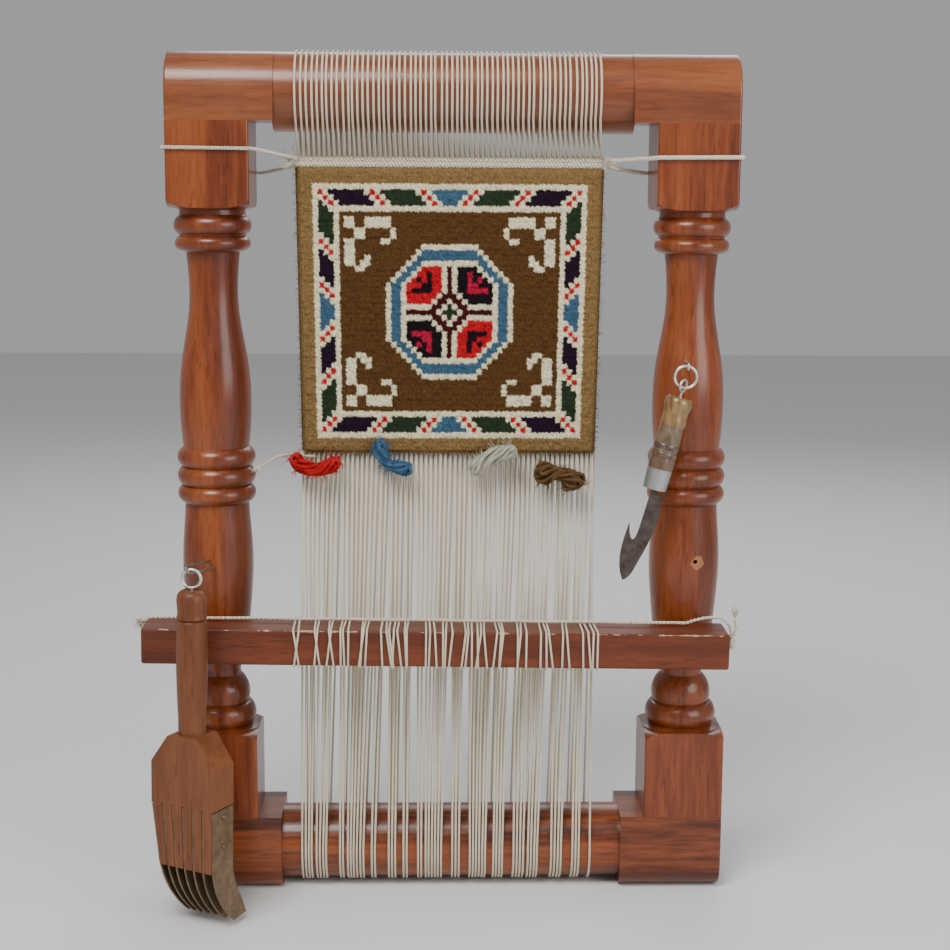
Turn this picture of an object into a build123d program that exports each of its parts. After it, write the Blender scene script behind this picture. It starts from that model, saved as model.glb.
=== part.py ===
from build123d import *
import math
import os

# Miniature upright tapestry loom. Millimetres, +Z up, the weaving side faces -Y.
# Every place below is measured from the middle of the wooden frame, at floor level.
# The model's origin is the middle of the whole footprint, hanging tools included.

# ---- driving dimensions ----
frame_x = 7.7  # frame's middle plane, from the origin
frame_y = 28.9

stock = 41.0  # square timber of the posts
overall_width = 283.0
overall_height = 430.0
post_x = (overall_width - stock) / 2
soft_edge = 1.2

beam_block_length = 53.0  # squared end of each beam
top_block_height = 34.0
top_round_radius = 19.5
bottom_block_height = 40.0
bottom_round_radius = 19.2
thread_room = 1.5  # the bottom beam's round part stays this far off the floor
top_edge_radius = 19.0
foot_edge_radius = 12.0
tenon_side = 20.0
tenon_length = 20.0
tenon_clearance = 0.1

warp_left = -79.0
warp_right = 74.0
thread = 1.2  # thickness of one layer of warp
header_bottom = 374.0
header_height = 5.5
header_half_depth = 1.6
fell_height = 229.0  # lower edge of the woven part
rug_front = -5.0
rug_back = 2.0
rug_top_width = 154.5
rug_bottom_width = 149.5
rug_x = -1.8

bar_left = -155.0
bar_right = 139.0
bar_front = -44.0
bar_back = -18.0
bar_height = 18.0
bar_middle_height = 136.4
bar_tilt = 0.7  # degrees, right end lower
loops_left = -81.0
loops_right = 73.0

comb_x = -126.4
comb_y = -64.0
comb_turn = -28.0  # degrees about the handle's axis
comb_lean = 0.9
comb_handle_radius = 7.6
comb_handle_top = 171.6
comb_head_top = 100.0
comb_head_width = 36.5
comb_head_depth = 17.5
comb_head_bottom = 33.0
comb_shoulder = 84.0
blade_count = 7
blade_thickness = 1.0
blade_top = 64.0
blade_reach = 11.2  # tips behind the head's back face
blade_tip = 3.4
blade_fan = 8.0  # degrees, leftmost blade against the rightmost

comb_ring_radius = 4.5
comb_ring_wire = 0.75  # wire radius of the comb's screw eye
hairpin_wire = 0.7
hairpin_gap = 4.4
hairpin_roll = 35.0

knife_x = 116.7
knife_y = -28.0
knife_hinge_z = 275.6
knife_tilt = 14.4  # degrees, blade to the left
knife_ring_radius = 5.5
knife_ring_wire = 0.7
knife_eye_radius = 3.0
knife_eye_wire = 0.6
knife_eye_turn = 50.0
staple_wire = 0.5
staple_gap = 3.2

os.makedirs("parts", exist_ok=True)


# ---- places and planes, measured from the frame's middle ----
def at(x, y, z):
    return Vector(frame_x + x, frame_y + y, z)


def level(z, x=0.0, y=0.0):
    return Plane(origin=at(x, y, z))


def seen_from_front(y, x=0.0, z=0.0):
    return Plane(origin=at(x, y, z), x_dir=(1, 0, 0), z_dir=(0, -1, 0))


def seen_from_side(x, y=0.0, z=0.0):
    return Plane(origin=at(x, y, z), x_dir=(0, 1, 0), z_dir=(1, 0, 0))


def write(builder, name):
    builder.part.label = name
    export_step(builder.part, "parts/" + name + ".step")


def tube(points, radii, wire_radius):
    """A round cord or wire along straight runs joined by tangent arcs."""
    with BuildPart() as made:
        with BuildLine() as route:
            if radii:
                FilletPolyline(*points, radius=radii)
            else:
                Polyline(*points)
        with BuildSketch(Plane(origin=points[0], z_dir=points[1] - points[0])):
            Circle(wire_radius)
        sweep(path=route.wire())
    return made.part


# ---- the comb's hairpin and the knife's staple, both driven into a post ----
comb_hinge = at(comb_x, comb_y, 179.7)
comb_ring_drop = 2.6  # hinge above the ring's middle
knife_hinge = at(knife_x, knife_y, knife_hinge_z)
knife_ring_drop = 3.95


def bent_wire(root, end, gap, roll, wire_radius):
    """Two parallel legs joined by a half-circle, the lower leg from root to end."""
    rise = Vector(-math.sin(math.radians(roll)), 0, math.cos(math.radians(roll))) * gap
    bend = gap * 0.42
    return tube([root, end, end + rise, root + rise], [bend, bend], wire_radius)


def hairpin(wire_radius):
    root = at(-119.6, -9.0, 171.0)
    along = (comb_hinge - root).normalized()
    return bent_wire(root, comb_hinge + along * 3.6, hairpin_gap, hairpin_roll, wire_radius)


def staple(wire_radius):
    root = at(knife_x, -10.0, knife_hinge_z)
    return bent_wire(root, at(knife_x, knife_y - 3.2, knife_hinge_z), staple_gap, 0, wire_radius)


# ---- posts ----
post_bottom = bottom_block_height
post_top = overall_height - top_block_height
beyond_corner = 30.0


def bead(r, low, high, depth=2.4):
    ThreePointArc((r - depth, low), (r, (low + high) / 2), (r - depth, high))


def post_outline():
    """Half of the turned outline as (radius, height), from the lower block up."""
    Polyline((0, post_bottom), (beyond_corner, post_bottom), (beyond_corner, 79.5))
    ThreePointArc((beyond_corner, 79.5), (26.5, 83.6), (20.4, 85.0))
    Line((20.4, 85.0), (16.1, 86.2))
    bead(18.5, 86.2, 97.4)
    Line((16.1, 97.4), (14.6, 98.0))
    ThreePointArc((14.6, 98.0), (15.4, 104.0), (11.4, 112.4))
    Polyline((11.4, 112.4), (10.8, 113.0), (10.8, 116.0))
    Spline((10.8, 116.0), (12.0, 119.5), (16.6, 148.0), (18.1, 175.0), (16.5, 200.0), (16.3, 203.6))
    Line((16.3, 203.6), (17.5, 204.4))
    bead(19.9, 204.4, 213.0)
    bead(19.9, 213.0, 222.6)
    bead(19.9, 222.6, 232.2)
    Line((17.5, 232.2), (16.8, 232.6))
    Spline((16.8, 232.6), (18.1, 252.0), (17.0, 275.0), (12.5, 304.0), (12.6, 322.0), (13.5, 331.4))
    Line((13.5, 331.4), (16.6, 332.3))
    bead(19.0, 332.3, 339.4)
    Line((16.6, 339.4), (17.1, 340.4))
    bead(19.5, 340.4, 349.4)
    Polyline((17.1, 349.4), (16.6, 350.2), (16.6, 352.4), (20.4, 353.6))
    ThreePointArc((20.4, 353.6), (26.5, 355.2), (beyond_corner, 359.6))
    Polyline((beyond_corner, 359.6), (beyond_corner, post_top), (0, post_top), (0, post_bottom))


def turned_post(x, wire, name):
    with BuildPart() as post:
        with BuildSketch(level(post_bottom, x)):
            RectangleRounded(stock, stock, soft_edge)
        extrude(amount=post_top - post_bottom)
        with BuildSketch(seen_from_front(0, x)):
            with BuildLine():
                post_outline()
            make_face()
        revolve(axis=Axis(at(x, 0, 0), (0, 0, 1)), mode=Mode.INTERSECT)
        for height in (post_bottom - tenon_length, post_top):
            with BuildSketch(level(height, x)):
                Rectangle(tenon_side, tenon_side)
            extrude(amount=tenon_length)
        add(wire, mode=Mode.SUBTRACT)
        if x > 0:
            # an old screw hole on the front of the lower shaft
            with BuildSketch(seen_from_front(-stock / 2, x + 3.5, 175.6)):
                Circle(1.1)
            extrude(amount=-10, mode=Mode.SUBTRACT)
    write(post, name)


turned_post(-post_x, hairpin(hairpin_wire + 0.03), "left_post")
turned_post(post_x, staple(staple_wire + 0.03), "right_post")

# ---- beams: squared ends with one rounded side, turned round between them ----
block_inner = overall_width / 2 - beam_block_length


def beam(name, low, high, round_radius, round_centre, edge_radius, rounded_group, mortise_low):
    with BuildPart() as made:
        for x in (-overall_width / 2, block_inner):
            with BuildSketch(seen_from_side(x)):
                with Locations((0, (low + high) / 2)):
                    Rectangle(stock, high - low)
                fillet(vertices().group_by(Axis.Y)[rounded_group], edge_radius)
            extrude(amount=beam_block_length)
        ends = faces().filter_by(Axis.X).group_by(Axis.X)
        fillet(ends[0].edges() + ends[-1].edges(), soft_edge)
        with BuildSketch(seen_from_side(-block_inner - 1)):
            with Locations((0, round_centre)):
                Circle(round_radius)
        extrude(amount=2 * block_inner + 2)
        for x in (-post_x, post_x):
            with BuildSketch(level(mortise_low, x)):
                Rectangle(tenon_side + 2 * tenon_clearance, tenon_side + 2 * tenon_clearance)
            extrude(amount=tenon_length + tenon_clearance, mode=Mode.SUBTRACT)
    write(made, name)


top_round_centre = overall_height - top_round_radius
bottom_round_centre = thread_room + bottom_round_radius
beam("top_beam", post_top, overall_height, top_round_radius, top_round_centre,
     top_edge_radius, -1, post_top)
beam("bottom_beam", 0, bottom_block_height, bottom_round_radius, bottom_round_centre,
     foot_edge_radius, 0, bottom_block_height - tenon_length - tenon_clearance)


# ---- warp: one continuous thread, kept here as thin layers ----
def tangent_angle(radius, distance):
    return math.degrees(math.acos(radius / distance))


def warp_layer(name, side, meeting_z, centre_z, beam_radius):
    """Straight layer from the woven part to where the thread touches a beam."""
    middle_radius = beam_radius + thread / 2
    towards = -1 if meeting_z < centre_z else 1
    meeting = Vector(side * 0.7, meeting_z)
    alpha = math.radians(tangent_angle(middle_radius, abs(centre_z - meeting_z)))
    outward = Vector(side * math.sin(alpha), towards * math.cos(alpha))
    touch = Vector(0, centre_z) + outward * middle_radius
    half = outward * (thread / 2)
    corners = [meeting - half, meeting + half, touch + half, touch - half]
    with BuildPart() as layer:
        with BuildSketch(seen_from_side(warp_left)):
            with BuildLine():
                Polyline(*[(c.X, c.Y) for c in corners], close=True)
            make_face()
        extrude(amount=warp_right - warp_left)
    write(layer, name)


def warp_wrap(name, meeting_z, centre_z, beam_radius):
    """Layer of thread round the far side of a beam, from tangent to tangent."""
    alpha = tangent_angle(beam_radius + thread / 2, abs(centre_z - meeting_z))
    start = -90 + alpha if meeting_z < centre_z else 90 + alpha
    with BuildPart() as wrap:
        with BuildSketch(seen_from_side(warp_left)):
            with BuildLine():
                inner = CenterArc((0, centre_z), beam_radius, start, 360 - 2 * alpha)
                outer = CenterArc((0, centre_z), beam_radius + thread, start, 360 - 2 * alpha)
                Line(inner @ 0, outer @ 0)
                Line(inner @ 1, outer @ 1)
            make_face()
        extrude(amount=warp_right - warp_left)
    write(wrap, name)


header_top = header_bottom + header_height
above_header = header_top + 0.6
below_rug = fell_height - 0.2
for side, place in ((-1, "front"), (1, "back")):
    warp_layer("upper_warp_" + place, side, above_header, top_round_centre, top_round_radius)
    warp_layer("lower_warp_" + place, side, below_rug, bottom_round_centre, bottom_round_radius)
warp_wrap("warp_over_top_beam", above_header, top_round_centre, top_round_radius)
warp_wrap("warp_under_bottom_beam", below_rug, bottom_round_centre, bottom_round_radius)

# ---- the woven part ----
with BuildPart() as rug:
    with BuildSketch(seen_from_front(rug_back, rug_x)):
        with BuildLine():
            Polyline((-rug_bottom_width / 2, fell_height), (rug_bottom_width / 2, fell_height),
                     (rug_top_width / 2, header_bottom), (-rug_top_width / 2, header_bottom), close=True)
        make_face()
    extrude(amount=rug_back - rug_front)
write(rug, "rug")

with BuildPart() as header:
    with BuildSketch(seen_from_front(header_half_depth, rug_x)):
        with Locations((0, header_bottom + header_height / 2)):
            Rectangle(rug_top_width, header_height)
    extrude(amount=2 * header_half_depth)
write(header, "header_cord")

# ---- ties from the rug's top corners round the upper post blocks ----
tie_off = 1.1  # cord's centre off the timber
tie_radius = 0.7
tie_bend = 2.2


def tie(name, side, front_z, back_z, wire_radius):
    near = post_x - stock / 2 - tie_off
    far = post_x + stock / 2 + tie_off
    deep = stock / 2 + tie_off
    edge = abs(rug_x + side * rug_top_width / 2)
    route = [at(side * (edge + 1.6), -2.2, 378.6), at(side * near, -deep, front_z),
             at(side * far, -deep, front_z + 0.4), at(side * far, deep, front_z - 2.0),
             at(side * near, deep, back_z), at(side * (edge + 1.6), 1.4, 375.8)]
    with BuildPart() as made:
        add(tube(route, [tie_bend] * 4, wire_radius))
    write(made, name)


tie("left_tie", -1, 382.4, 371.0, tie_radius)
tie("right_tie", 1, 379.2, 372.0, tie_radius + 0.25)

# ---- weft tail and the yarn bundles left hanging at the fell ----
with BuildPart() as weft_tail:
    add(tube([at(-70.0, -3.0, 227.6), at(-78.0, -3.4, 227.9), at(-86.0, -5.2, 229.0),
              at(-92.0, -8.2, 226.8), at(-97.6, -11.2, 223.6)],
             [9.0, 10.0, 10.0], 0.8))
write(weft_tail, "weft_tail")

bundles = {
    "red_yarn": ((-79.0, 226.0), (-70.0, 221.4), (-60.6, 225.0), 4.2),
    "blue_yarn": ((-36.8, 233.6), (-32.6, 225.2), (-23.8, 222.6), 4.0),
    "cream_yarn": ((11.2, 223.0), (20.0, 228.6), (29.6, 231.6), 4.8),
    "brown_yarn": ((45.4, 220.6), (55.4, 220.4), (62.4, 215.4), 6.8),
}
for name, (start, middle, end, radius) in bundles.items():
    with BuildPart() as bundle:
        with BuildLine(seen_from_front(rug_front - radius - 0.6)) as route:
            ThreePointArc(start, middle, end)
        with BuildSketch(Plane(origin=route.wire() @ 0, z_dir=route.wire() % 0)):
            Circle(radius)
        sweep()
        with Locations(route.wire() @ 0, route.wire() @ 1):
            Sphere(radius * 0.97)
    write(bundle, name)

# ---- heddle bar, its loops, string and leashes ----
bar_middle_x = (bar_left + bar_right) / 2
bar_middle_y = (bar_front + bar_back) / 2
bar_depth = bar_back - bar_front
loop_skin = 1.2
bar_place = Plane(origin=at(bar_middle_x, bar_middle_y, bar_middle_height),
                  x_dir=(math.cos(math.radians(bar_tilt)), 0, -math.sin(math.radians(bar_tilt))),
                  z_dir=(math.sin(math.radians(bar_tilt)), 0, math.cos(math.radians(bar_tilt))))
bar_end = Plane(origin=bar_place.origin, x_dir=(0, 1, 0), z_dir=bar_place.x_dir)

with BuildPart() as heddle_bar:
    with BuildSketch(bar_end.offset(bar_left - bar_middle_x)):
        Rectangle(bar_depth, bar_height)
    extrude(amount=bar_right - bar_left)
    chamfer(edges(), 0.8)
write(heddle_bar, "heddle_bar")

with BuildPart() as bar_loops:
    with BuildSketch(bar_end.offset(loops_left - bar_middle_x)):
        RectangleRounded(bar_depth + 2 * loop_skin, bar_height + 2 * loop_skin, 1.4)
        Rectangle(bar_depth, bar_height, mode=Mode.SUBTRACT)
    extrude(amount=loops_right - loops_left)
write(bar_loops, "bar_loops")

leash_gap = 0.3
leash_back = -13.2
leash_half_height = 3.0
with BuildPart() as leashes:
    with BuildSketch(Plane(origin=at(bar_middle_x, 0, bar_middle_height),
                           x_dir=(0, 1, 0), z_dir=bar_place.x_dir).offset(loops_left - bar_middle_x)):
        with Locations(((bar_back + loop_skin + leash_gap + leash_back) / 2, 0)):
            Rectangle(leash_back - bar_back - loop_skin - leash_gap, 2 * leash_half_height)
    extrude(amount=loops_right - loops_left)
write(leashes, "leashes")

string_radius = 1.0
string_y = 4.0  # behind the bar's middle
string_lift = bar_height / 2 + loop_skin + string_radius + 0.05
string_end = (bar_right - bar_left) / 2 + string_radius + 0.3


def on_bar(along, across, up):
    return bar_place.from_local_coords(Vector(along, across, up))


knot_radius = 2.8
string_end = (bar_right - bar_left) / 2 + knot_radius + 0.2
with BuildPart() as heddle_string:
    add(tube([on_bar(-string_end + 3.4, string_y, string_lift), on_bar(string_end - 24, string_y, string_lift),
              on_bar(string_end - 10, string_y, string_lift + 3.4),
              on_bar(string_end, string_y, string_lift), on_bar(string_end, string_y, 4.6)],
             [14.0, 7.0, 5.0], string_radius))
write(heddle_string, "heddle_string")

for name, along, up in (("left_string_knot", -string_end, 7.6), ("right_string_knot", string_end, 0.5)):
    with BuildPart() as knot:
        with Locations(on_bar(along, string_y, up)):
            Sphere(knot_radius)
    write(knot, name)

with BuildPart() as string_tail:
    add(tube([on_bar(string_end + 1.8, string_y - 3.4, 2), on_bar(string_end + 3.0, string_y - 4.4, 11),
              on_bar(string_end + 1.6, string_y - 4.4, 20)], [8.0], 0.8))
write(string_tail, "string_tail")

# ---- comb beater, hung by its screw eye on a wire hairpin ----
with BuildPart() as comb_hairpin:
    add(hairpin(hairpin_wire))
write(comb_hairpin, "comb_hairpin")

ring_middle = comb_hinge - Vector(0, 0, comb_ring_drop)
lean = math.radians(comb_lean)
turn = math.radians(comb_turn)
comb_up = Vector(math.sin(lean), 0, math.cos(lean))
across = Vector(math.cos(turn), math.sin(turn), 0)
across = (across - comb_up * across.dot(comb_up)).normalized()
comb_foot = ring_middle - comb_up * (ring_middle.Z / math.cos(lean))
comb_place = Plane(origin=comb_foot, x_dir=across, z_dir=comb_up)
comb_face = Plane(origin=comb_foot, x_dir=across, z_dir=-comb_place.y_dir)
comb_axis = Axis(comb_foot, comb_up)
eye_shank = 12.0


def on_comb(across, backward, up):
    return comb_place.from_local_coords(Vector(across, backward, up))


with BuildPart() as comb_eye:
    with BuildSketch(Plane(origin=ring_middle, x_dir=(1, 0, 0), z_dir=(0, 0, 1))):
        with Locations((comb_ring_radius, 0)):
            Circle(comb_ring_wire)
    revolve(axis=Axis(ring_middle, (0, 1, 0)))
    with BuildSketch(Plane(origin=ring_middle - comb_up * comb_ring_radius, z_dir=-comb_up)):
        Circle(comb_ring_wire)
    extrude(amount=ring_middle.Z - comb_ring_radius - comb_handle_top + eye_shank)
write(comb_eye, "comb_eye")


def comb_handle_outline():
    r = comb_handle_radius
    Polyline((0, comb_shoulder), (r - 0.8, comb_shoulder), (r - 0.8, 108.0))
    Spline((r - 0.8, 108.0), (r, 130.0), (r - 0.2, 156.0))
    Polyline((r - 0.2, 156.0), (r - 1.2, 157.0), (r - 0.2, 158.0))
    Spline((r - 0.2, 158.0), (r - 0.3, 165.0), (r - 1.2, comb_handle_top - 1.4), (r - 3.2, comb_handle_top))
    Polyline((r - 3.2, comb_handle_top), (0, comb_handle_top), (0, comb_shoulder))


def head_outline():
    w = comb_head_width / 2
    left_foot = (blade_top - comb_head_bottom) * math.tan(math.radians(blade_fan)) - w
    Polyline((left_foot, comb_head_bottom), (w, comb_head_bottom), (w, comb_shoulder + 1.5), (w - 1.0, 87.0),
             (8.6, 99.4), (6.6, comb_head_top), (-6.6, comb_head_top), (-8.6, 99.4), (1.0 - w, 87.0),
             (-w, comb_shoulder + 1.5), (-w, blade_top), (left_foot, comb_head_bottom))


def blade_outline(front, rear, top):
    """A tooth seen from the side as (backward, up), sweeping back to a blunt tip."""
    tip = comb_head_depth / 2 + blade_reach
    low = comb_head_bottom
    Polyline((rear, low), (rear, top), (front, top), (front, low + 3))
    Spline((front, low + 3), (front + 2.6, low - 9), (front + 9.6, low - 21), (tip - 10.5, blade_tip))
    Line((tip - 10.5, blade_tip), (tip, blade_tip + 0.8))
    Spline((tip, blade_tip + 0.8), (tip - 4.6, low - 19), (rear + 2.0, low - 9), (rear, low))


def blades(thickness, slack):
    pitch = (comb_head_width - blade_thickness) / (blade_count - 1)
    with BuildPart() as made:
        for k in range(blade_count):
            middle = (k - (blade_count - 1) / 2) * pitch
            fan = math.radians(blade_fan) * (1 - k / (blade_count - 1)) ** 2
            facing = comb_place.x_dir * math.cos(fan) + comb_place.z_dir * math.sin(fan)
            side = Plane(origin=on_comb(middle + blade_top * math.tan(fan), 0, 0),
                         x_dir=comb_place.y_dir, z_dir=facing)
            with BuildSketch(side):
                with BuildLine():
                    half = comb_head_depth / 2 - 0.3 + slack
                    blade_outline(-half, half, blade_top + slack)
                make_face()
            extrude(amount=thickness / 2, both=True)
    return made.part


with BuildPart() as comb_handle:
    with BuildSketch(comb_face):
        with BuildLine():
            comb_handle_outline()
        make_face()
    revolve(axis=comb_axis)
    with BuildSketch(comb_face):
        with BuildLine():
            head_outline()
        make_face()
    extrude(amount=comb_head_depth / 2, both=True)
    add(blades(blade_thickness + 0.1, 0.6), mode=Mode.SUBTRACT)
    with BuildSketch(Plane(origin=on_comb(0, 0, comb_handle_top + 1), z_dir=-comb_up)):
        Circle(comb_ring_wire + 0.03)
    extrude(amount=eye_shank + 1.6, mode=Mode.SUBTRACT)
write(comb_handle, "comb_handle")

with BuildPart() as comb_blades:
    add(blades(blade_thickness, 0))
write(comb_blades, "comb_blades")

with BuildPart() as comb_rivets:
    for side, fan in ((-1, blade_fan), (1, 0)):
        for height in (45.0, 60.0):
            inward = (blade_top - height) * math.tan(math.radians(fan))
            centre = on_comb(side * (comb_head_width / 2 + 0.25) + inward, 0, height)
            with BuildSketch(Plane(origin=centre, z_dir=comb_place.x_dir * side)):
                Circle(1.4)
            extrude(amount=0.9, taper=25)
write(comb_rivets, "comb_rivets")

# ---- knotting knife, hung by its eye and a ring on a staple ----
with BuildPart() as knife_staple:
    add(staple(staple_wire))
write(knife_staple, "knife_staple")

tilt = math.radians(knife_tilt)
knife_down = Vector(-math.sin(tilt), 0, -math.cos(tilt))
knife_right = Vector(math.cos(tilt), 0, -math.sin(tilt))
# distances run down the knife's own axis from the top of its ring
knife_top = knife_hinge - knife_down * (knife_ring_radius - knife_ring_drop)
knife_side = Plane(origin=knife_top, x_dir=knife_right, z_dir=(0, 1, 0))
knife_axis = Axis(knife_top, knife_down)
eye_reach = 10.0  # middle of the small eye
butt_start = 16.0
eye_shank_length = 9.0


def down_knife(distance):
    return knife_top + knife_down * distance


with BuildPart() as knife_ring:
    with BuildSketch(Plane(origin=down_knife(knife_ring_radius), x_dir=knife_right, z_dir=knife_down)):
        with Locations((knife_ring_radius, 0)):
            Circle(knife_ring_wire)
    revolve(axis=Axis(down_knife(knife_ring_radius), (0, 1, 0)))
write(knife_ring, "knife_ring")

eye_turn = math.radians(knife_eye_turn)
eye_across = knife_right * math.cos(eye_turn) + Vector(0, math.sin(eye_turn), 0)
with BuildPart() as knife_eye:
    with BuildSketch(Plane(origin=down_knife(eye_reach), x_dir=eye_across, z_dir=knife_down)):
        with Locations((knife_eye_radius, 0)):
            Circle(knife_eye_wire)
    revolve(axis=Axis(down_knife(eye_reach), eye_across.cross(knife_down)))
    with BuildSketch(Plane(origin=down_knife(eye_reach + knife_eye_radius), z_dir=knife_down)):
        Circle(knife_eye_wire)
    extrude(amount=butt_start - eye_reach - knife_eye_radius + eye_shank_length)
write(knife_eye, "knife_eye")


def turned_length(name, outline):
    """A turned length of the handle from points (radius, distance down the knife)."""
    with BuildPart() as made:
        with BuildSketch(knife_side):
            with BuildLine():
                Spline(*outline)
                Polyline(outline[-1], (0, outline[-1][1]), (0, outline[0][1]), outline[0])
            make_face()
        revolve(axis=knife_axis)
        with BuildSketch(Plane(origin=down_knife(butt_start - 1), z_dir=knife_down)):
            Circle(knife_eye_wire + 0.03)
        extrude(amount=eye_shank_length + 1.4, mode=Mode.SUBTRACT)
    write(made, name)


turned_length("knife_butt", [(5.9, 16.0), (6.9, 17.8), (6.8, 21.0), (6.1, 24.6), (6.5, 28.0), (6.0, 31.0)])
turned_length("knife_grip", [(5.8, 31.0), (6.2, 35.5), (6.4, 40.0)])
turned_length("knife_upper_band", [(6.4, 40.0), (6.7, 41.4), (6.4, 42.8)])
turned_length("knife_middle_band", [(6.1, 42.8), (6.3, 43.4), (6.1, 44.0)])
turned_length("knife_lower_band", [(6.4, 44.0), (6.7, 45.5), (6.4, 47.0)])
turned_length("knife_collar", [(6.2, 47.0), (6.5, 50.0), (6.3, 53.0)])
turned_length("knife_ferrule", [(6.3, 53.0), (6.2, 58.0), (5.9, 63.6)])

with BuildPart() as knife_blade:
    with BuildSketch(knife_side):
        with BuildLine():
            blade_root = (-1.2, 63.6)
            slot_side = (-1.9, 84.6)
            barb = (-7.0, 78.6)
            tip = (-3.1, 112.8)
            Line(blade_root, slot_side)
            Spline(slot_side, (-4.3, 91.2), (-6.5, 87.0), barb)
            Spline(barb, (-7.9, 89.6), (-8.0, 96.8), (-5.9, 107.8), tip)
            Spline(tip, (-0.9, 110.5), (1.8, 102.4), (3.8, 94.4), (5.5, 84.0), (5.8, 73.1), (4.6, 66.4))
            Polyline((4.6, 66.4), (1.6, 64.8), (1.6, 63.6), blade_root)
        make_face()
    extrude(amount=0.8, both=True)
write(knife_blade, "knife_blade")
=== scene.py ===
import math
import random

import bpy
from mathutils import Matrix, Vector


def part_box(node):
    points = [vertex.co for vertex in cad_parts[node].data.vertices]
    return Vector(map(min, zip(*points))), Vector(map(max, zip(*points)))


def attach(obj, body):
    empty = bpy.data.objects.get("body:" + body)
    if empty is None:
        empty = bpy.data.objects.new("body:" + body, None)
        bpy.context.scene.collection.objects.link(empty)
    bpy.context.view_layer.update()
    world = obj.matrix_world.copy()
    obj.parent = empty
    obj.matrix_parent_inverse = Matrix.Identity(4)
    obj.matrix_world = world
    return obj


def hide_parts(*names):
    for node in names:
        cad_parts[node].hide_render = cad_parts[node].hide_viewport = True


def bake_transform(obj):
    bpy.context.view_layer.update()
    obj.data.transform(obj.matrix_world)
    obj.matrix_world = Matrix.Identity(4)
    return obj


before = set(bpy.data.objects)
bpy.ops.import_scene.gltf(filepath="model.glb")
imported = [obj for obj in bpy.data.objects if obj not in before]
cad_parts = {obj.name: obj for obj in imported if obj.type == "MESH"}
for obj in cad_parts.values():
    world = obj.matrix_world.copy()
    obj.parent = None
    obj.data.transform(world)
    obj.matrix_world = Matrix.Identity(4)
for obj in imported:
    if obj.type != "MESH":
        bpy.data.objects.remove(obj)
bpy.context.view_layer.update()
rng = random.Random(7)

# ---- places, in millimetres from the middle of the wooden frame at floor level ----
beam_low, beam_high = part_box("top_beam")
frame_x = (beam_low[0] + beam_high[0]) * 500
frame_y = (beam_low[1] + beam_high[1]) * 500

top_centre, top_radius = 410.5, 19.5
bottom_centre, bottom_radius = 20.7, 19.2
thread_radius = 0.58
header_low, header_high = 374.0, 379.5
fell = 229.0
rug_front = -5.0
warp_left, warp_right = -78.4, 73.4
strand_count = 60
bar_left, bar_right, bar_front, bar_back = -155.0, 139.0, -44.0, -18.0
bar_middle, bar_half = 136.4, 9.0
bar_tilt = math.radians(0.7)
rug_columns, rug_rows = 59, 53


def at(x, y, z):
    return Vector(((frame_x + x) / 1000, (frame_y + y) / 1000, z / 1000))


def lerp(a, b, t):
    return a + (b - a) * t


# ---- node helpers ----
class Shader:
    """A material with short calls for the nodes used here."""

    def __init__(self, name, roughness=0.5, **settings):
        self.material = bpy.data.materials.new(name)
        self.material.use_nodes = True
        self.tree = self.material.node_tree
        self.surface = self.tree.nodes["Principled BSDF"]
        self.surface.inputs["Roughness"].default_value = roughness
        for key, value in settings.items():
            self.surface.inputs[key.replace("_", " ")].default_value = value

    def node(self, kind, inputs=None, **settings):
        made = self.tree.nodes.new(kind)
        for key, value in settings.items():
            setattr(made, key, value)
        for key, value in (inputs or {}).items():
            if isinstance(value, bpy.types.NodeSocket):
                self.tree.links.new(value, made.inputs[key])
            else:
                made.inputs[key].default_value = value
        return made

    def place(self, scale):
        coordinates = self.node("ShaderNodeTexCoord")
        inputs = {"Vector": coordinates.outputs["Object"], "Scale": scale}
        return self.node("ShaderNodeMapping", inputs).outputs[0]

    def noise(self, scale, vector=None, detail=3.0, roughness=0.55, distortion=0.0):
        inputs = {"Scale": scale, "Detail": detail, "Roughness": roughness, "Distortion": distortion}
        inputs["Vector"] = vector or self.place((1, 1, 1))
        return self.node("ShaderNodeTexNoise", inputs).outputs["Fac"]

    def map_range(self, value, low, high):
        inputs = {"Value": value, "To Min": low, "To Max": high}
        return self.node("ShaderNodeMapRange", inputs).outputs[0]

    def axes(self):
        """The x, y and z sockets of the place being shaded, in metres."""
        coordinates = self.node("ShaderNodeTexCoord")
        return self.node("ShaderNodeSeparateXYZ", {0: coordinates.outputs["Object"]}).outputs

    def math(self, operation, a, b=0.0):
        return self.node("ShaderNodeMath", {0: a, 1: b}, operation=operation).outputs[0]

    def ramp(self, factor, stops):
        made = self.node("ShaderNodeValToRGB", {"Fac": factor})
        elements = made.color_ramp.elements
        while len(elements) < len(stops):
            elements.new(0.5)
        for element, (position, color) in zip(elements, stops):
            element.position = position
            element.color = (*color, 1)
        return made.outputs["Color"]

    def mix(self, factor, a, b, blend="MIX"):
        made = self.node("ShaderNodeMix", data_type="RGBA", blend_type=blend)
        for socket, value in ((made.inputs[0], factor), (made.inputs[6], a), (made.inputs[7], b)):
            if isinstance(value, bpy.types.NodeSocket):
                self.tree.links.new(value, socket)
            elif isinstance(value, tuple):
                socket.default_value = (*value, 1)
            else:
                socket.default_value = value
        return made.outputs[2]

    def link(self, socket, name):
        self.tree.links.new(socket, self.surface.inputs[name])

    def bump(self, height, strength, distance):
        made = self.node("ShaderNodeBump", {"Height": height, "Strength": strength, "Distance": distance})
        self.link(made.outputs[0], "Normal")


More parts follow.
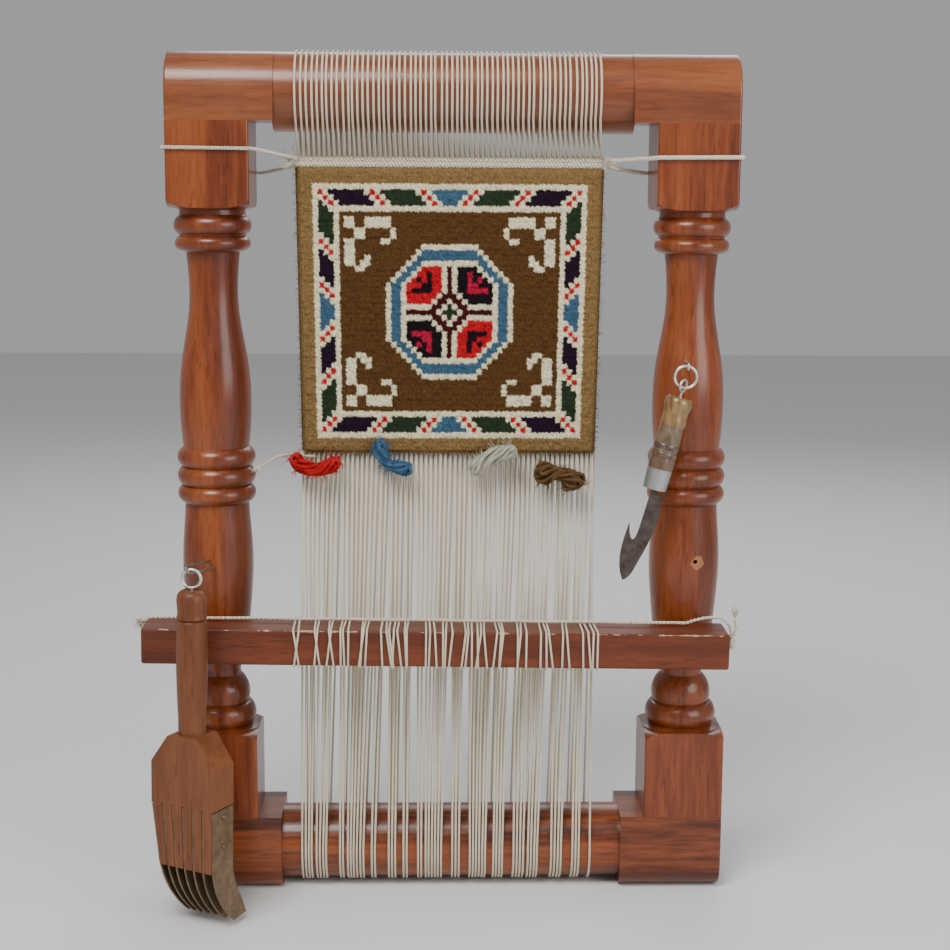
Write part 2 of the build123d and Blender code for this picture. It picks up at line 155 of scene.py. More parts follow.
# ---- materials ----
def wood(name, along, dark, middle, light, roughness=0.3, coat=0.5, seed=0.0, wear=None):
    """Straight-grained wood, with the grain along x or z."""
    shader = Shader(name, roughness, Specular_IOR_Level=0.3, Coat_Weight=coat * 0.7, Coat_Roughness=0.18)
    stretch = (0.09, 1, 1) if along == "x" else (1, 1, 0.09)
    moved = shader.node("ShaderNodeMapping", {
        "Vector": shader.node("ShaderNodeTexCoord").outputs["Object"],
        "Location": (seed, seed * 0.7, seed * 0.3), "Scale": stretch}).outputs[0]
    figure = shader.noise(46, moved, 5, 0.55, 0.7)
    streak = shader.noise(420, moved, 4, 0.6, 0.2)
    patch = shader.noise(14, moved, 2)
    blend = shader.math("ADD", shader.math("MULTIPLY", figure, 0.62), shader.math("MULTIPLY", streak, 0.26))
    blend = shader.math("ADD", blend, shader.math("MULTIPLY", patch, 0.16))
    color = shader.ramp(blend, [(0.30, dark), (0.46, middle), (0.60, light), (0.72, middle)])
    pores = shader.noise(900, moved, 2, 0.5)
    pore_mask = shader.ramp(pores, [(0.30, (0.62, 0.62, 0.62)), (0.40, (1, 1, 1))])
    color = shader.mix(1.0, color, pore_mask, "MULTIPLY")
    if wear:
        color = wear(shader, color)
    shader.link(color, "Base Color")
    shader.link(shader.map_range(streak, roughness - 0.08, roughness + 0.18), "Roughness")
    height = shader.math("ADD", pores, shader.math("MULTIPLY", shader.noise(70, None, 3), 1.4))
    shader.bump(height, 0.16, 0.0006)
    return shader.material


def pale_edges(shader, color):
    """Bare, scuffed wood along the heddle bar's upper edges."""
    worn_width = 0.0018
    low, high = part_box("heddle_bar")
    axes = shader.axes()
    drop = shader.math("MULTIPLY", shader.math("SUBTRACT", axes["X"], low[0]), math.tan(bar_tilt))
    below_top = shader.math("SUBTRACT", shader.math("SUBTRACT", high[2], axes["Z"]), drop)
    from_front = shader.math("SUBTRACT", axes["Y"], low[1])
    reach = shader.math("ADD", shader.math("MAXIMUM", below_top, from_front),
                        shader.math("MULTIPLY", shader.noise(160, None, 4), 0.003))
    worn = shader.math("LESS_THAN", reach, worn_width)
    return shader.mix(worn, color, (0.44, 0.26, 0.14))


def chipped_hole(shader, color):
    """Bare wood round the old screw hole in the right post."""
    hole = at(124.5, 0, 175.6)
    patch_radius = 0.0058
    axes = shader.axes()
    beside = shader.math("SUBTRACT", axes["X"], hole.x + 0.0012)
    above = shader.math("SUBTRACT", axes["Z"], hole.z - 0.0006)
    far = shader.math("SQRT", shader.math("ADD", shader.math("MULTIPLY", beside, beside),
                                          shader.math("MULTIPLY", above, above)))
    ragged = shader.math("ADD", far, shader.math("MULTIPLY", shader.noise(300, None, 4), 0.0052))
    in_front = shader.math("LESS_THAN", axes["Y"], hole.y)
    bare = shader.math("MULTIPLY", shader.math("LESS_THAN", ragged, patch_radius), in_front)
    return shader.mix(shader.math("MULTIPLY", bare, 0.55), color, (0.42, 0.19, 0.07))


def scuffed_end_grain(shader, color):
    return shader.mix(shader.math("MULTIPLY", shader.noise(24, None, 3), 0.28), color, (0.30, 0.15, 0.07))


def cotton(name, base, shade, pitch=0.0026):
    """Two-ply thread. Tubes carry the angle round and the distance along in 'twist'."""
    shader = Shader(name, 0.92, Specular_IOR_Level=0.15)
    twist = shader.node("ShaderNodeSeparateXYZ", {
        0: shader.node("ShaderNodeAttribute", attribute_name="twist").outputs["Vector"]})
    phase = shader.math("MULTIPLY", twist.outputs["Z"], 2 * math.pi / pitch)
    wave = shader.math("ADD",
                       shader.math("MULTIPLY", shader.math("SINE", phase), twist.outputs["X"]),
                       shader.math("MULTIPLY", shader.math("COSINE", phase), twist.outputs["Y"]))
    # The colour is darkened along the grooves between the plies: painted shade in the twist, mixed with real
    # fibre mottling.
    ply = shader.math("ABSOLUTE", wave)
    fibre = shader.noise(420, None, 4)
    tone = shader.math("ADD", shader.math("MULTIPLY", ply, 0.55), shader.math("MULTIPLY", fibre, 0.5))
    shader.link(shader.ramp(tone, [(0.18, shade), (0.55, base)]), "Base Color")
    shader.bump(shader.math("ADD", ply, shader.noise(1500, None, 2)), 0.7, 0.0005)
    return shader.material


def wool(name, base, shade):
    shader = Shader(name, 0.96, Specular_IOR_Level=0.12)
    fibre = shader.noise(900, None, 4, 0.7, 1.5)
    clump = shader.noise(240, None, 3)
    tone = shader.math("ADD", shader.math("MULTIPLY", fibre, 0.6), shader.math("MULTIPLY", clump, 0.4))
    shader.link(shader.ramp(tone, [(0.34, shade), (0.60, base)]), "Base Color")
    shader.bump(fibre, 0.9, 0.0007)
    return shader.material


def knotted_wool(name, value):
    """Pile whose colour is each knot's own, kept in the mesh as 'knot'."""
    shader = Shader(name, 0.97, Specular_IOR_Level=0.1)
    dyed = shader.node("ShaderNodeAttribute", attribute_name="knot").outputs["Color"]
    fibre = shader.noise(1300, None, 4, 0.7, 0.8)
    lustre = shader.ramp(fibre, [(0.30, (0.42 * value,) * 3), (0.62, (1.12 * value,) * 3)])
    shader.link(shader.mix(1.0, dyed, lustre, "MULTIPLY"), "Base Color")
    shader.bump(fibre, 0.85, 0.0008)
    return shader.material


def metal(name, color, stain, roughness, stain_amount, scratches=0.12):
    shader = Shader(name, roughness, Metallic=0.92)
    patch = shader.noise(190, None, 5, 0.65)
    mask = shader.ramp(patch, [(0.5 - stain_amount * 0.2, (0, 0, 0)), (0.66, (stain_amount,) * 3)])
    shader.link(shader.mix(mask, color, stain), "Base Color")
    shader.link(shader.map_range(patch, roughness - 0.1, roughness + 0.25), "Roughness")
    shader.bump(shader.noise(1200, shader.place((1, 1, 0.08)), 3), scratches, 0.0004)
    return shader.material


def horn(name, dark, light, roughness=0.32):
    shader = Shader(name, roughness, Coat_Weight=0.35, Coat_Roughness=0.2, Subsurface_Weight=0.06)
    layers = shader.noise(230, shader.place((1.6, 1.6, 0.35)), 4, 0.6, 1.2)
    shader.link(shader.ramp(layers, [(0.34, dark), (0.62, light)]), "Base Color")
    shader.bump(shader.noise(700, shader.place((1, 1, 0.3)), 3), 0.15, 0.0004)
    return shader.material


deep, warm, glow = (0.063, 0.011, 0.0030), (0.137, 0.027, 0.0065), (0.252, 0.061, 0.0150)
# Darker wood tones for the bottom beam: painted shade, for the light falling off towards the floor.
shadowed, falloff_shaded_middle = (0.026, 0.005, 0.0015), (0.078, 0.016, 0.0045)
bar_middle_tone, bar_light = (0.096, 0.019, 0.0055), (0.155, 0.034, 0.0100)
comb_dark, comb_middle, comb_light = (0.074, 0.021, 0.0065), (0.137, 0.041, 0.0135), (0.200, 0.068, 0.0250)
thread_material = cotton("cotton_thread", (0.74, 0.66, 0.51), (0.40, 0.33, 0.24))
cord_material = cotton("cotton_cord", (0.78, 0.71, 0.57), (0.42, 0.34, 0.24), 0.0034)
pile_material = knotted_wool("rug_pile", 1.0)
back_material = knotted_wool("rug_back", 0.85)
wire = metal("nickel_wire", (0.74, 0.73, 0.71), (0.28, 0.25, 0.22), 0.26, 0.35)
tarnished = metal("tarnished_blade", (0.135, 0.110, 0.093), (0.050, 0.036, 0.029), 0.42, 0.9, 0.3)
comb_steel = metal("worn_comb_steel", (0.26, 0.185, 0.115), (0.11, 0.070, 0.040), 0.50, 0.6, 0.25)
dark_horn = horn("dark_horn", (0.035, 0.020, 0.013), (0.13, 0.075, 0.045))
tan_horn = horn("tan_horn", (0.085, 0.054, 0.032), (0.185, 0.130, 0.080))

node_materials = {
    "left_post": wood("left_post_wood", "z", deep, warm, glow, seed=0.2),
    "right_post": wood("right_post_wood", "z", deep, warm, glow, seed=1.7, wear=chipped_hole),
    "top_beam": wood("top_beam_wood", "x", deep, warm, glow, seed=3.1, wear=scuffed_end_grain),
    # The bottom beam's darker tones are painted shade, not a darker wood.
    "bottom_beam": wood("bottom_beam_wood", "x", shadowed, falloff_shaded_middle, glow, seed=4.4),
    "heddle_bar": wood("bar_wood", "x", deep, bar_middle_tone, bar_light, 0.42, 0.15, 5.2, pale_edges),
    "comb_handle": wood("comb_wood", "z", comb_dark, comb_middle, comb_light, 0.44, 0.12, 6.3),
    "comb_blades": comb_steel,
    "comb_rivets": comb_steel,
    "comb_eye": wire,
    "comb_hairpin": metal("dull_hairpin", (0.40, 0.34, 0.27), (0.12, 0.07, 0.04), 0.38, 0.8),
    "knife_staple": wire,
    "knife_ring": wire,
    "knife_eye": wire,
    "knife_butt": horn("amber_horn", (0.12, 0.058, 0.018), (0.27, 0.158, 0.055), 0.30),
    "knife_grip": tan_horn,
    "knife_upper_band": dark_horn,
    "knife_middle_band": tan_horn,
    "knife_lower_band": dark_horn,
    "knife_collar": horn("brown_horn", (0.070, 0.034, 0.019), (0.150, 0.085, 0.051)),
    "knife_ferrule": metal("ferrule_metal", (0.40, 0.42, 0.40), (0.25, 0.25, 0.24), 0.44, 0.5, 0.35),
    "knife_blade": tarnished,
}
for name, material in node_materials.items():
    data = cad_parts[name].data
    data.materials.clear()
    data.materials.append(material)


# ---- mesh makers ----
def piece(name, mesh, material, body, replaced=()):
    made = bpy.data.objects.new(name, mesh)
    bpy.context.scene.collection.objects.link(made)
    made.data.materials.append(material)
    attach(made, body)
    if replaced:
        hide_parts(*replaced)
    return made


def tubes(name, routes, radius, sides=7, taper=0.0):
    """Round threads along routes of points, each with its angle and distance stored."""
    vertices, faces, twist = [], [], []
    for route in routes:
        first = len(vertices)
        along = 0.0
        direction = (route[1] - route[0]).normalized()
        normal = direction.orthogonal().normalized()
        for i, point in enumerate(route):
            before = route[max(i - 1, 0)]
            after = route[min(i + 1, len(route) - 1)]
            along += (point - before).length
            direction = (after - before).normalized()
            normal = (normal - direction * normal.dot(direction)).normalized()
            across = direction.cross(normal)
            size = radius * (1 - taper * i / (len(route) - 1))
            for k in range(sides):
                angle = 2 * math.pi * k / sides
                c, s = math.cos(angle), math.sin(angle)
                vertices.append(point + (normal * c + across * s) * size)
                twist.append((c, s, along))
        for i in range(len(route) - 1):
            for k in range(sides):
                a, b = first + i * sides + k, first + i * sides + (k + 1) % sides
                faces.append((a, b, b + sides, a + sides))
        last = first + (len(route) - 1) * sides
        faces.append(tuple(first + k for k in reversed(range(sides))))
        faces.append(tuple(last + k for k in range(sides)))
    mesh = bpy.data.meshes.new(name)
    mesh.from_pydata(vertices, [], faces)
    mesh.attributes.new("twist", "FLOAT_VECTOR", "POINT").data.foreach_set(
        "vector", [value for row in twist for value in row])
    mesh.polygons.foreach_set("use_smooth", [True] * len(mesh.polygons))
    mesh.update()
    return mesh


def plied(route, radius, pitch, strands=2, step=0.0006):
    """Routes of strands twisted together round one route."""
    distances = [0.0]
    for a, b in zip(route, route[1:]):
        distances.append(distances[-1] + (b - a).length)
    count = max(int(distances[-1] / step), 2)
    out = [[] for _ in range(strands)]
    normal = (route[1] - route[0]).orthogonal().normalized()
    j = 0
    for i in range(count + 1):
        s = distances[-1] * i / count
        while j < len(route) - 2 and distances[j + 1] < s:
            j += 1
        here = route[j].lerp(route[j + 1], (s - distances[j]) / max(distances[j + 1] - distances[j], 1e-9))
        direction = (route[j + 1] - route[j]).normalized()
        normal = (normal - direction * normal.dot(direction)).normalized()
        across = direction.cross(normal)
        for k in range(strands):
            angle = 2 * math.pi * (s / pitch + k / strands)
            out[k].append(here + (normal * math.cos(angle) + across * math.sin(angle)) * radius)
    return out


def frayed(middle, direction, count, length, spread):
    """Loose fibres leaving one point."""
    routes = []
    for _ in range(count):
        way = direction + Vector([rng.uniform(-spread, spread) for _ in range(3)])
        bend = Vector([rng.uniform(-0.5, 0.5) for _ in range(3)])
        size = length * rng.uniform(0.6, 1.0)
        routes.append([middle + (way * t + bend * t * t) * size for t in (0, 0.25, 0.5, 0.75, 1)])
    return routes


# ---- warp ----
def grouped_places(count, low, high, largest):
    """Places along a beam where threads bunch in groups of uneven size."""
    places, x = [], 0.0
    while len(places) < count:
        for _ in range(rng.randint(2, largest)):
            places.append(x)
            x += rng.uniform(1.15, 1.45)
        x += rng.choice((0.7, 2.2, 3.4, 4.6))
    places = places[:count]
    return [low + (high - low) * p / places[-1] for p in places]


def even_places(count, low, high, wander):
    """Places spread evenly along a beam, each a little out of line."""
    return [lerp(low, high, i / (count - 1)) + rng.uniform(-wander, wander) for i in range(count)]


def arc_round(centre, radius, first, last, steps):
    return [(radius * math.cos(a), centre + radius * math.sin(a))
            for a in (math.radians(lerp(first, last, i / steps)) for i in range(steps + 1))]


def warp_threads():
    """Every turn of the warp, down the front, under the lower beam and over the upper one."""
    at_fell = [lerp(warp_left + 2.0, warp_right - 1.2, i / (strand_count - 1)) for i in range(strand_count)]
    at_header = [lerp(warp_left + 0.8, warp_right + 0.8, i / (strand_count - 1)) for i in range(strand_count)]
    below = grouped_places(strand_count, warp_left + 0.6, warp_right - 0.8, 6)
    above = even_places(strand_count, warp_left + 0.9, warp_right - 0.9, 0.45)
    slack = thread_radius + 0.02
    half_pitch = (warp_right - warp_left) / strand_count / 2
    lower_turn = math.degrees(math.acos((bottom_radius + slack) / (fell - bottom_centre)))
    upper_turn = math.degrees(math.acos((top_radius + slack) / (top_centre - header_high)))
    routes = []
    for i in range(strand_count):
        sway = rng.uniform(-0.5, 0.5)
        lower = arc_round(bottom_centre, bottom_radius + slack, 90 + lower_turn, 450 - lower_turn, 22)
        route = [at(at_fell[i], -0.7, fell + 1.5)]
        front_x = lerp(at_fell[i], below[i], 0.55) + sway
        route.append(at(front_x, lerp(-0.8, lower[0][0], 0.5), lerp(fell, lower[0][1], 0.5)))
        route += [at(below[i], y, z) for y, z in lower]
        back_x = lerp(at_fell[i] + half_pitch, below[i], 0.5) - sway
        route.append(at(back_x, lerp(0.8, lower[-1][0], 0.5), lerp(fell, lower[-1][1], 0.5)))
        route.append(at(at_fell[i] + half_pitch, 0.8, fell + 1.5))
        routes.append(route)
        upper = arc_round(top_centre, top_radius + slack, -90 - upper_turn, -450 + upper_turn, 22)
        route = [at(at_header[i], -0.8, header_high - 2.0)]
        route += [at(above[i], y, z) for y, z in upper]
        route.append(at(at_header[i] + half_pitch, 0.8, header_high - 2.0))
        routes.append(route)
    return tubes("warp_threads", routes, thread_radius / 1000, 6)


piece("warp_threads", warp_threads(), thread_material, "frame",
      ("upper_warp_front", "upper_warp_back", "lower_warp_front", "lower_warp_back",
       "warp_over_top_beam", "warp_under_bottom_beam"))

# ---- the rug's design, one colour to a knot ----
gold, cream = (0.22, 0.132, 0.050), (0.80, 0.71, 0.47)
brown, purple, green = (0.092, 0.042, 0.013), (0.016, 0.006, 0.018), (0.020, 0.034, 0.016)
blue, red, black = (0.044, 0.105, 0.165), (0.46, 0.008, 0.016), (0.010, 0.006, 0.008)
maroon, crimson = (0.050, 0.006, 0.007), (0.40, 0.010, 0.040)


def between(value, low, high):
    return low <= value <= high


def corner_motif(c, r):
    solid = ((9, 10, 9, 10), (13, 17, 9, 10), (11, 12, 11, 12), (18, 18, 11, 12), (16, 17, 13, 13),
             (9, 10, 13, 17), (11, 12, 18, 18), (13, 13, 16, 17), (12, 12, 17, 17))
    return any(between(c, a, b) and between(r, d, e) for a, b, d, e in solid)


def border(c, r):
    """The band of slanting blocks parted by red diagonals, between two cream lines."""
    if c >= r:
        place, reds = c - (r - 4), (4, 14, 24)
        blocks = ((6, 12, purple), (16, 22, green), (26, 32, blue))
    else:
        place, reds = r - (c - 4), (4, 13, 21)
        blocks = ((6, 11, green), (15, 19, purple), (23, 32, blue))
    for first, last, dye in blocks:
        if between(place, first, last):
            return dye
    return red if place in reds else cream


def medallion(c, r, column, row):
    depth = min(r - 14, c - 17, c + r - 38)
    if depth < 0:
        return None
    if depth in (0, 3):
        return cream
    if depth < 3:
        return blue
    dx, dy = abs(column - 29), abs(row - 26)
    if dx + dy <= 1:
        return green
    if dx + dy == 2:
        return cream
    if dx + dy <= 4 or dx == 0 or dy == 0:
        return maroon
    if dx + dy == 5 or dx == 1 or dy == 1:
        return cream
    ground, figure = (red, black) if (column < 29) == (row < 26) else (black, crimson)
    hook = (c == 25 and r >= 19) or (r == 22 and between(c, 22, 25)) or (c, r) in ((24, 21), (23, 20))
    return figure if hook and r <= 22 else ground


def knot_color(column, row):
    c, r = min(column, rug_columns - 1 - column), min(row, rug_rows - 1 - row)
    edge = min(c, r)
    if edge <= 2:
        return gold
    if edge in (3, 7):
        return cream
    if edge < 7:
        return border(c, r)
    return medallion(c, r, column, row) or (cream if corner_motif(c, r) else brown)


def rug_place(u, v):
    """A point of the rug's face: u from left to right, v from top to bottom."""
    left, right = lerp(-78.6, -76.4, v), lerp(75.3, 72.8, v)
    return lerp(left, right, u), lerp(header_low, fell + 0.4, v)


def rug_sheet(name, per_knot, surface, wander, value):
    """A grid over the rug, with knot colours and a depth given by surface."""
    columns, rows = rug_columns * per_knot, rug_rows * per_knot
    vertices, colors = [], []
    for j in range(rows + 1):
        for i in range(columns + 1):
            x, z = rug_place(i / columns, j / rows)
            vertices.append(at(x, surface(i / per_knot, j / per_knot), z))
            column = min(max(int(i / per_knot + rng.uniform(-wander, wander)), 0), rug_columns - 1)
            row = min(max(int(j / per_knot + rng.uniform(-wander, wander)), 0), rug_rows - 1)
            tone = value * rng.uniform(0.72, 1.2)
            colors += [channel * tone for channel in knot_color(column, row)] + [1.0]
    width = columns + 1
    faces = [(j * width + i, j * width + i + 1, (j + 1) * width + i + 1, (j + 1) * width + i)
             for j in range(rows) for i in range(columns)]
    mesh = bpy.data.meshes.new(name)
    mesh.from_pydata(vertices, [], faces)
    mesh.attributes.new("knot", "FLOAT_COLOR", "POINT").data.foreach_set("color", colors)
    mesh.polygons.foreach_set("use_smooth", [True] * len(mesh.polygons))
    mesh.update()
    return mesh


knot_height = {(c, r): rng.uniform(-0.35, 0.35)
               for c in range(rug_columns + 1) for r in range(rug_rows + 1)}


def pile_depth(u, v):
    c, r = min(int(u), rug_columns), min(int(v), rug_rows)
    inset = min(u, v, rug_columns - u, rug_rows - v)
    crown = abs(math.sin(math.pi * u)) * abs(math.sin(math.pi * v))
    rise = 3.1 * min(1.0, inset / 0.8) ** 0.5
    ragged = knot_height[c, r] + rng.uniform(-0.28, 0.28)
    return -1.3 - rise - 0.35 * crown * min(1, inset) + ragged * min(1, inset)


def back_depth(u, v):
    ribs = abs(math.sin(math.pi * u)) * (0.6 + 0.4 * abs(math.sin(math.pi * v)))
    return 0.9 + 0.5 * ribs


pile_mesh = rug_sheet("rug_pile", 5, pile_depth, 0.1, 1.0)
pile = piece("rug_pile", pile_mesh, pile_material, "frame")
backing_mesh = rug_sheet("rug_backing", 4, back_depth, 0.12, 0.8)
backing = piece("rug_backing", backing_mesh, back_material, "frame", ("rug",))
thickness = backing.modifiers.new("thickness", "SOLIDIFY")
thickness.thickness = 0.0022
thickness.offset = 1.0


def fringe():
    """Fibres standing out of the rug's edges and the loose row at the fell."""
    fibre_count = 1500
    routes = []
    for _ in range(fibre_count):
        v = 1.0 if rng.random() < 0.62 else rng.random()
        u = rng.random() if v == 1.0 else rng.choice((0.0, 1.0))
        x, z = rug_place(u, v)
        out = Vector((0, -0.4, -1)) if v == 1.0 else Vector((1 if u else -1, -0.3, 0))
        way = out + Vector((rng.uniform(-0.8, 0.8), rng.uniform(-0.5, 0.3), rng.uniform(-0.6, 0.6)))
        start = at(x, rng.uniform(-3.6, 0.4), z + (1.2 if v == 1.0 else 0))
        size = rng.uniform(0.6, 2.1) / 1000
        routes.append([start, start + way * size * 0.6, start + way * size + Vector((0, 0, -size * 0.3))])
    return tubes("rug_fringe", routes, 0.00016, 4, 0.5)


gold_wool = wool("gold_wool", (0.30, 0.19, 0.07), (0.14, 0.08, 0.03))
piece("rug_fringe", fringe(), gold_wool, "frame")


def header_twining():
    routes = []
    for height in (375.3, 378.0):
        line = [at(lerp(-78.8, 75.4, i / 90), 0, height) for i in range(91)]
        routes += plied(line, 0.00135, 0.0052, 3)
    return tubes("header_twining", routes, 0.00072, 6)


piece("header_twining", header_twining(), thread_material, "frame", ("header_cord",))


# ---- ties round the posts ----
def tie(side, front, back, strands):
    near, far, deep, trim = 98.8, 142.7, 21.5, 1.3
    route = [(near - 20.5, 2.4, 377.8), (near - trim, deep - 1.2, front - 0.3),
             (near + trim, deep + 0.2, front),
             (far - trim, deep + 0.2, front + 0.4), (far, deep - trim, front + 0.4),
             (far, trim - deep, front - 2), (far - trim, -deep, front - 2), (near + trim, -deep, back),
             (near - trim, 1.2 - deep, back), (near - 20.5, -1.6, 374.6)]
    line = [at(side * x, -y, z) for x, y, z in route]
    return plied(line, 0.0004 * strands ** 0.6, 0.0032, strands)


piece("left_tie_thread", tubes("left_tie_thread", tie(-1, 382.4, 371.0, 2), 0.00042, 6), cord_material,
      "frame", ("left_tie",))
piece("right_tie_threads", tubes("right_tie_threads", tie(1, 379.2, 372.0, 3), 0.00046, 6), cord_material,
      "frame", ("right_tie",))


def knot_loops(middle, size):
    """A small overhand knot: a trefoil of cord."""
    steps = 60
    points = []
    for i in range(steps + 1):
        a = 2 * math.pi * i / steps
        points.append(middle + Vector((math.sin(a) + 2 * math.sin(2 * a), math.sin(3 * a) * 0.9,
                                       math.cos(a) - 2 * math.cos(2 * a))) * size)
    return points


corner_knots = [knot_loops(at(-79.2, -2.6, 377.0), 0.0009), knot_loops(at(76.0, -2.6, 376.0), 0.0008)]
corner_knots += frayed(at(-79.4, -3, 376.2), Vector((-0.6, -0.3, 0.2)), 26, 0.0065, 0.9)
corner_knots += frayed(at(76.2, -3, 376.0), Vector((0.5, -0.3, 0.1)), 20, 0.0055, 0.9)
piece("corner_knots", tubes("corner_knots", corner_knots, 0.00030, 5, 0.3), cord_material, "frame")


# ---- yarn left hanging at the fell ----
def soft_curve(name, points, radius, material, replaced):
    data = bpy.data.curves.new(name, "CURVE")
    data.dimensions = "3D"
    data.bevel_depth = radius
    data.bevel_resolution = 4
    data.use_fill_caps = True
    line = data.splines.new("NURBS")
    line.points.add(len(points) - 1)
    for target, point in zip(line.points, points):
        target.co = (*point, 1)
    line.order_u = 3
    line.use_endpoint_u = True
    line.resolution_u = 6
    return piece(name, data, material, "frame", replaced)


def curve_length(made):
    data = made.data.copy()
    data.bevel_depth = 0
    bare = bpy.data.objects.new("measuring", data)
    line = bpy.data.meshes.new_from_object(bare)
    spots = [v.co for v in line.vertices]
    total = sum((b - a).length for a, b in zip(spots, spots[1:]))
    bpy.data.objects.remove(bare)
    return total


def bundle(name, first, middle, last, swell, passes, waist, color, shade):
    """A small skein: yarn laid back and forth along a bent core, drawn in by waist halfway."""
    yarn = 0.00095
    golden_angle = 2.4
    steps = 7
    points, outward = [], []
    a, b, c = (at(x, rug_front - swell - 0.6, z) for x, z in (first, middle, last))
    for lay in range(passes):
        reach = (swell / 1000 - 0.5 * yarn) * math.sqrt((lay + 0.5) / passes)
        start = rng.uniform(-0.16, 0.06)
        end = rng.uniform(0.94, 1.16)
        for i in range(steps + 1):
            t = lerp(start, end, i / steps if lay % 2 == 0 else 1 - i / steps)
            core = a * (1 - t) ** 2 + (b * 2 - (a + c) / 2) * 2 * t * (1 - t) + c * t * t
            slope = ((b * 2 - (a + c) / 2 - a) * (1 - t) + (c - b * 2 + (a + c) / 2) * t).normalized()
            side = Vector((0, 1, 0)).cross(slope)
            angle = golden_angle * lay + 3.0 * t + rng.uniform(-0.25, 0.25)
            drawn_in = lerp(1, waist, math.sin(math.pi * t) ** 2) * rng.uniform(0.75, 1.1)
            away = Vector((0, 1, 0)) * math.cos(angle) + side * math.sin(angle)
            points.append(core + away * reach * drawn_in)
            outward.append(away)
    dyed = wool(name + "_wool", color, shade)
    made = soft_curve(name + "_hank", points, yarn, dyed, (name,))
    routes = []
    for point, away in zip(points[::2], outward[::2]):
        routes += frayed(point, away * 0.5, 8, 0.0034, 0.9)
    fuzz = piece(name + "_fuzz", tubes(name + "_fuzz", routes, 0.00016, 4, 0.4), dyed, "frame")
    curve_length(made)


red_wool = ((0.50, 0.018, 0.018), (0.26, 0.008, 0.010))
blue_wool = ((0.060, 0.14, 0.24), (0.026, 0.065, 0.12))
cream_wool = ((0.50, 0.48, 0.38), (0.30, 0.28, 0.21))
brown_wool = ((0.15, 0.080, 0.032), (0.060, 0.032, 0.014))
bundle("red_yarn", (-79.0, 226.0), (-70.0, 221.4), (-60.6, 225.0), 4.2, 13, 0.95, *red_wool)
bundle("blue_yarn", (-36.8, 233.6), (-32.6, 225.2), (-23.8, 222.6), 4.0, 12, 0.65, *blue_wool)
bundle("cream_yarn", (11.2, 223.0), (20.0, 228.6), (29.6, 231.6), 4.8, 14, 1.0, *cream_wool)
bundle("brown_yarn", (45.4, 220.6), (55.4, 220.4), (62.4, 215.4), 6.8, 20, 0.5, *brown_wool)

tail_points = [at(-70.0, -3.0, 227.6), at(-78.0, -3.4, 227.9), at(-86.0, -5.2, 229.0),
               at(-92.0, -8.2, 226.8), at(-97.6, -11.2, 223.6)]
tail_radius = 0.0008
tail_fibres = frayed(tail_points[-1], Vector((-0.7, -0.3, -0.4)), 16, 0.004, 0.5)
tail_end = piece("weft_tail_end", tubes("weft_tail_end", tail_fibres, 0.00025, 5, 0.3), cord_material,
                 "frame")
tail = soft_curve("weft_tail_thread", tail_points, tail_radius, cord_material, ("weft_tail",))
curve_length(tail)

# ---- leashes, the turns round the heddle bar, and the string along it ----
bar_centre = ((bar_left + bar_right) / 2, (bar_front + bar_back) / 2)


def on_bar(x, y, up):
    """A point at x and y, with its height measured from the bar's sloping middle."""
    return at(x, y, bar_middle + up - (x - bar_centre[0]) * math.tan(bar_tilt))


def bar_turns():
    routes = []
    places = grouped_places(46, -79.5, 71.5, 3)
    out = 0.65
    low_y, high_y = bar_front - out, bar_back + out
    up = bar_half + out
    for x in places:
        lean = rng.uniform(-2.6, 2.6)
        slope = rng.uniform(-1.2, 1.2)
        ring = [(0, high_y, up - 1), (0, high_y - 1, up), (slope, low_y + 1, up), (slope, low_y, up - 1),
                (slope + lean, low_y, 1 - up), (slope + lean, low_y + 1, -up), (lean, high_y - 1, -up),
                (lean, high_y, 1 - up), (0, high_y, up - 1)]
        routes.append([on_bar(x + dx, y, z) for dx, y, z in ring])
    return tubes("bar_turns", routes, 0.00052, 6)


def leash_threads():
    sag = 0.0006
    routes = []
    for x in grouped_places(58, -79.0, 71.0, 4):
        target = x + rng.uniform(-2, 2)
        start = on_bar(x, bar_back + 0.8, rng.choice((-6.5, 6.5)) + rng.uniform(-1, 1))
        end = on_bar(target, -10.6, rng.uniform(-3.5, 3.5))
        routes.append([start.lerp(end, t) - Vector((0, 0, sag * math.sin(math.pi * t)))
                       for t in (0, 0.2, 0.4, 0.6, 0.8, 1)])
    return tubes("leash_threads", routes, 0.00045, 6)


piece("bar_turns", bar_turns(), thread_material, "heddle", ("bar_loops",))
leashes = bpy.data.objects.new("leash_threads", leash_threads())
bpy.context.scene.collection.objects.link(leashes)
leashes.data.materials.append(thread_material)
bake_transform(leashes)
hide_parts("leashes")

string_y = (bar_front + bar_back) / 2 + 4
string_up = bar_half + 1.9
string_line = [on_bar(-156.4, string_y, 7.0), on_bar(-155.6, string_y, string_up - 1.0)]
string_line += [on_bar(-152, string_y, string_up)]
string_line += [on_bar(lerp(-150, 117, i / 40), string_y + 0.5 * math.sin(i), string_up) for i in range(41)]
string_line += [on_bar(lerp(119, 141.6, t), string_y, string_up + 3.2 * math.sin(math.pi * t * 0.8))
                for t in (0, 0.2, 0.4, 0.6, 0.8)]
string_line += [on_bar(141.2, string_y, string_up - 0.6)]
string_line += [on_bar(142.2, string_y, up) for up in (6.5, 2.5)]
string_routes = plied(string_line, 0.00040, 0.0040, 2)
piece("heddle_string_plied", tubes("heddle_string_plied", string_routes, 0.00046, 6), cord_material, "heddle",
      ("heddle_string",))
left_knot, right_knot = on_bar(-156.9, string_y, 7.6), on_bar(142.2, string_y, 0.8)
knots = [knot_loops(left_knot, 0.00075), knot_loops(right_knot, 0.00080)]
tail_line = [right_knot, on_bar(144.4, string_y - 3.6, 9), on_bar(143.6, string_y - 4.4, 15)]
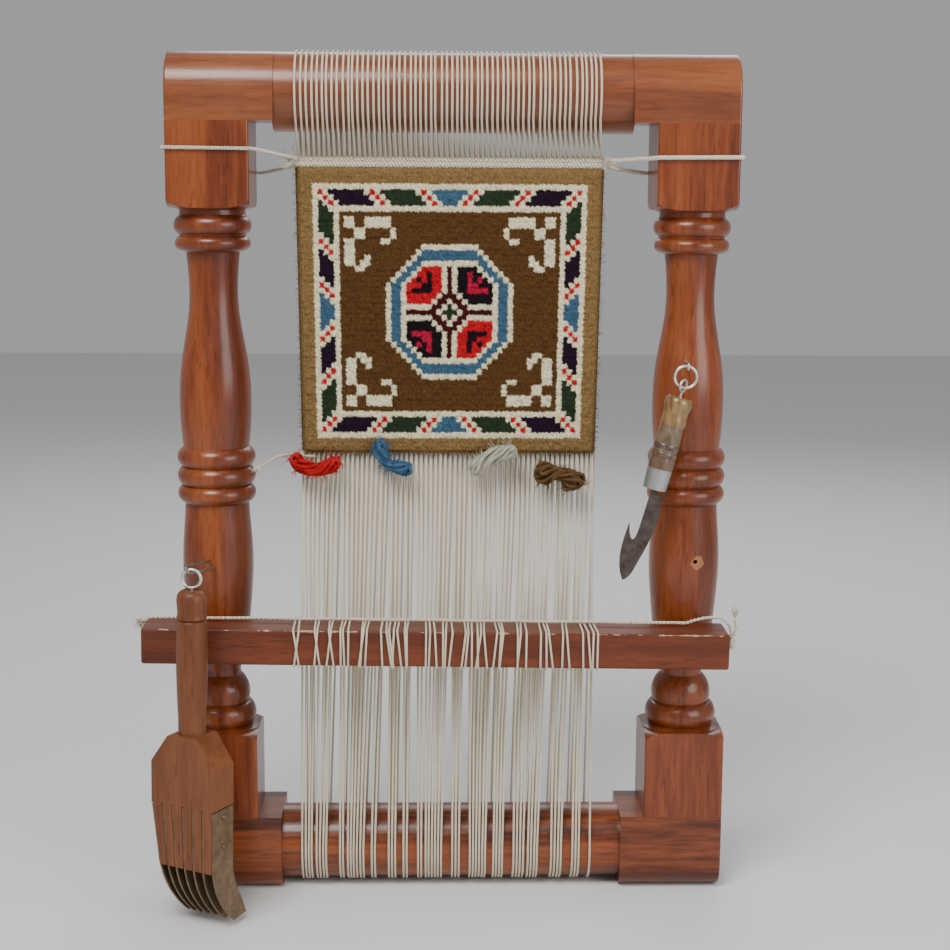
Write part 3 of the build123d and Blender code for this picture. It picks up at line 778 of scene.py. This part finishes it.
knots += plied(tail_line, 0.0005, 0.004)
fibres = frayed(left_knot, Vector((-0.2, -0.3, 0.2)), 70, 0.0036, 0.9)
fibres += frayed(on_bar(143.4, string_y - 4.4, 15), Vector((0.0, -0.1, 1.0)), 26, 0.0055, 0.4)
fibres += frayed(right_knot, Vector((0.1, -0.4, -0.7)), 14, 0.004, 0.6)
piece("string_knots", tubes("string_knots", knots, 0.00058, 6), cord_material, "heddle",
      ("left_string_knot", "right_string_knot", "string_tail"))
piece("string_fibres", tubes("string_fibres", fibres, 0.00026, 4, 0.4), cord_material, "heddle")

# ---- floor, light and camera ----
bpy.ops.mesh.primitive_plane_add(size=6, location=(0, 0, -0.0002))
floor = bpy.context.object
floor_shader = Shader("pale_floor", 0.75)
floor_shader.surface.inputs["Base Color"].default_value = (0.72, 0.72, 0.71, 1)
floor.data.materials.append(floor_shader.material)


def softbox(name, place, aim, size, power):
    light = bpy.data.lights.new(name, "AREA")
    light.shape = "RECTANGLE"
    light.size, light.size_y = size
    light.energy = power
    made = bpy.data.objects.new(name, light)
    bpy.context.scene.collection.objects.link(made)
    made.location = place
    made.rotation_euler = (Vector(aim) - Vector(place)).to_track_quat("-Z", "Y").to_euler()


softbox("key", (-0.35, -0.75, 1.25), (0, 0, 0.22), (0.6, 0.5), 17)
softbox("fill", (0.85, -0.8, 0.55), (0, 0, 0.15), (0.7, 0.7), 8)
softbox("back", (0.2, 1.1, 1.0), (0, 0, 0.2), (1.0, 0.6), 6)
world = bpy.data.worlds.new("studio")
world.use_nodes = True
world.node_tree.nodes["Background"].inputs["Color"].default_value = (0.82, 0.83, 0.85, 1)
world.node_tree.nodes["Background"].inputs["Strength"].default_value = 0.45
bpy.context.scene.world = world

lens = bpy.data.cameras.new("camera")
lens.sensor_width = 36.0
lens.lens = 66.9
lens.clip_start = 0.01
camera = bpy.data.objects.new("camera", lens)
bpy.context.scene.collection.objects.link(camera)
camera.location = at(-11.6, -899.8, 365.0)
pitch, yaw = math.radians(9.30), math.radians(1.49)
look = Vector((math.sin(yaw) * math.cos(pitch), math.cos(yaw) * math.cos(pitch), -math.sin(pitch)))
turn = look.to_track_quat("-Z", "Y").to_matrix().to_4x4()
camera.rotation_euler = turn.to_euler()
camera.rotation_euler.rotate_axis("Z", math.radians(0.35))
bpy.context.scene.camera = camera
